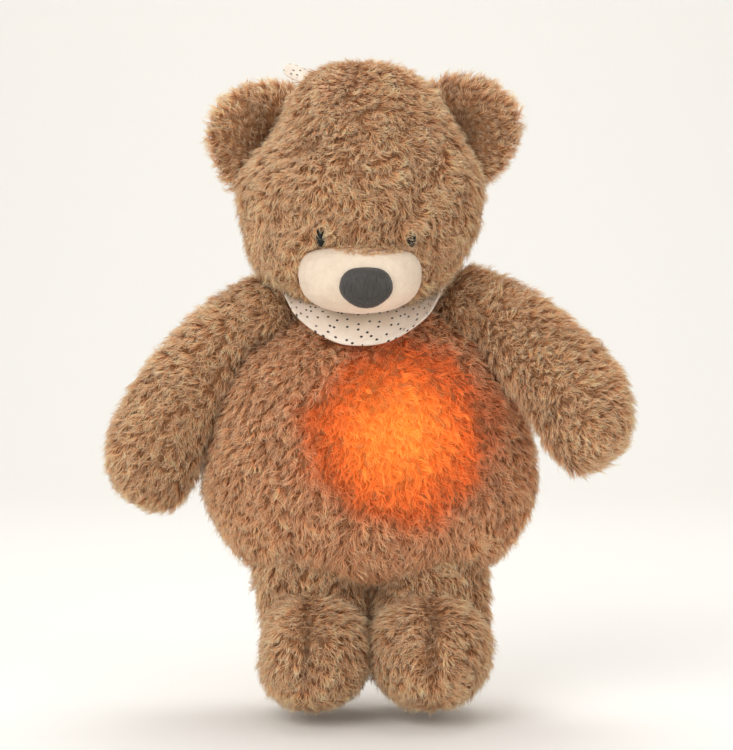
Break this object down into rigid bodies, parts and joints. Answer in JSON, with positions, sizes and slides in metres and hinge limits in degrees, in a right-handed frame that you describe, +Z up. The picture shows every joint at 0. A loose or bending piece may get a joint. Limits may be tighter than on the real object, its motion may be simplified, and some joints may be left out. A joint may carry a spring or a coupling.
{
  "type": "plush night light",
  "caption": "Stuffed plush bear that hangs on a cot rail by its strap and glows through its belly from a light and sound module in a back pocket.",
  "frame": {"origin": "middle of the strap's inner face where it lies on top of the rail", "axes": "+Z up, the bear faces -Y, +X to the right of someone who looks at its face"},
  "size_m": [0.2681, 0.1586, 0.3365],
  "materials": {
    "tan_plush": "long-pile plush",
    "white_cotton": "woven cotton with small dots",
    "cream_velour": "short velour",
    "charcoal_thread": "satin-stitched thread",
    "hook_tape": "hook tape",
    "loop_tape": "loop tape",
    "white_casing": "fine satin",
    "warm_diffuser": "translucent",
    "circuit_green": "solder-masked board",
    "nickel": "bright plated",
    "speaker_paper": "matt cone",
    "button_grey": "moulded",
    "cell_jacket": "printed jacket"
  },
  "bodies": {
    "head": {"head": "tan_plush", "ear_left": "tan_plush", "ear_right": "tan_plush", "muzzle": "cream_velour", "nose": "charcoal_thread", "eye_left": "charcoal_thread", "eye_right": "charcoal_thread", "hanging_strap": "white_cotton", "strap_hook_pad": "hook_tape", "strap_loop_pad": "loop_tape"},
    "torso": {"casing_screw_1": "nickel", "casing_screw_2": "nickel", "casing_screw_3": "nickel", "cell_1": "cell_jacket", "cell_2": "cell_jacket", "cell_3": "cell_jacket", "circuit_board": "circuit_green", "contact_spring_1": "nickel", "contact_spring_2": "nickel", "contact_spring_3": "nickel", "flap_loop_strip": "loop_tape", "light_dome": "warm_diffuser", "light_emitter_1": "warm_diffuser", "light_emitter_2": "warm_diffuser", "light_emitter_3": "warm_diffuser", "microphone": "nickel", "module_front_shell": "white_casing", "module_rear_shell": "white_casing", "neckerchief": "white_cotton", "plate_contact_1": "nickel", "plate_contact_2": "nickel", "plate_contact_3": "nickel", "pocket_liner": "white_cotton", "speaker_basket": "nickel", "speaker_cone": "speaker_paper", "spring_contact_1": "nickel", "spring_contact_2": "nickel", "spring_contact_3": "nickel", "torso": "tan_plush"},
    "arm_left": {"arm_left": "tan_plush"},
    "arm_right": {"arm_right": "tan_plush"},
    "leg_left": {"leg_left": "tan_plush", "foot_left": "tan_plush"},
    "leg_right": {"leg_right": "tan_plush", "foot_right": "tan_plush"},
    "flap": {"pocket_flap": "tan_plush", "flap_hook_strip": "hook_tape"},
    "battery_door": {"battery_door": "white_casing", "door_screw": "nickel"},
    "light_button": {"light_button": "button_grey"},
    "sound_button": {"sound_button": "button_grey"},
    "volume_button": {"volume_button": "button_grey"},
    "power_switch": {"power_switch": "button_grey"}
  },
  "joints": [
    {"name": "neck_nod", "type": "hinge", "parent": "head", "child": "torso", "pos_m": [0, -0.064, -0.104], "axis": [1, 0, 0], "range_deg": [-4, 4], "stiffness_Nm_per_rad": 6},
    {"name": "arm_left_raise", "type": "hinge", "parent": "torso", "child": "arm_left", "pos_m": [-0.054, -0.062, -0.115], "axis": [0, 1, 0], "range_deg": [0, 50], "stiffness_Nm_per_rad": 0.15},
    {"name": "arm_right_raise", "type": "hinge", "parent": "torso", "child": "arm_right", "pos_m": [0.054, -0.062, -0.115], "axis": [0, -1, 0], "range_deg": [0, 50], "stiffness_Nm_per_rad": 0.15},
    {"name": "leg_left_swing", "type": "hinge", "parent": "torso", "child": "leg_left", "pos_m": [-0.0305, -0.066, -0.245], "axis": [-1, 0, 0], "range_deg": [0, 35], "stiffness_Nm_per_rad": 0.2},
    {"name": "leg_right_swing", "type": "hinge", "parent": "torso", "child": "leg_right", "pos_m": [0.0325, -0.066, -0.245], "axis": [-1, 0, 0], "range_deg": [0, 35], "stiffness_Nm_per_rad": 0.2},
    {"name": "flap_fold", "type": "hinge", "parent": "torso", "child": "flap", "pos_m": [0.014, -0.0284, -0.128], "axis": [1, 0, 0], "range_deg": [0, 130]},
    {"name": "battery_door_swing", "type": "hinge", "parent": "torso", "child": "battery_door", "pos_m": [0.014, -0.0627, -0.16385], "axis": [1, 0, 0], "range_deg": [0, 35]},
    {"name": "light_button_press", "type": "slide", "parent": "torso", "child": "light_button", "axis": [0, -1, 0], "range_m": [0, 0.001], "stiffness_N_per_m": 500},
    {"name": "sound_button_press", "type": "slide", "parent": "torso", "child": "sound_button", "axis": [0, -1, 0], "range_m": [0, 0.001], "stiffness_N_per_m": 500},
    {"name": "volume_button_press", "type": "slide", "parent": "torso", "child": "volume_button", "axis": [0, -1, 0], "range_m": [0, 0.001], "stiffness_N_per_m": 500},
    {"name": "power_switch_slide", "type": "slide", "parent": "torso", "child": "power_switch", "axis": [1, 0, 0], "range_m": [0, 0.003]}
  ]
}
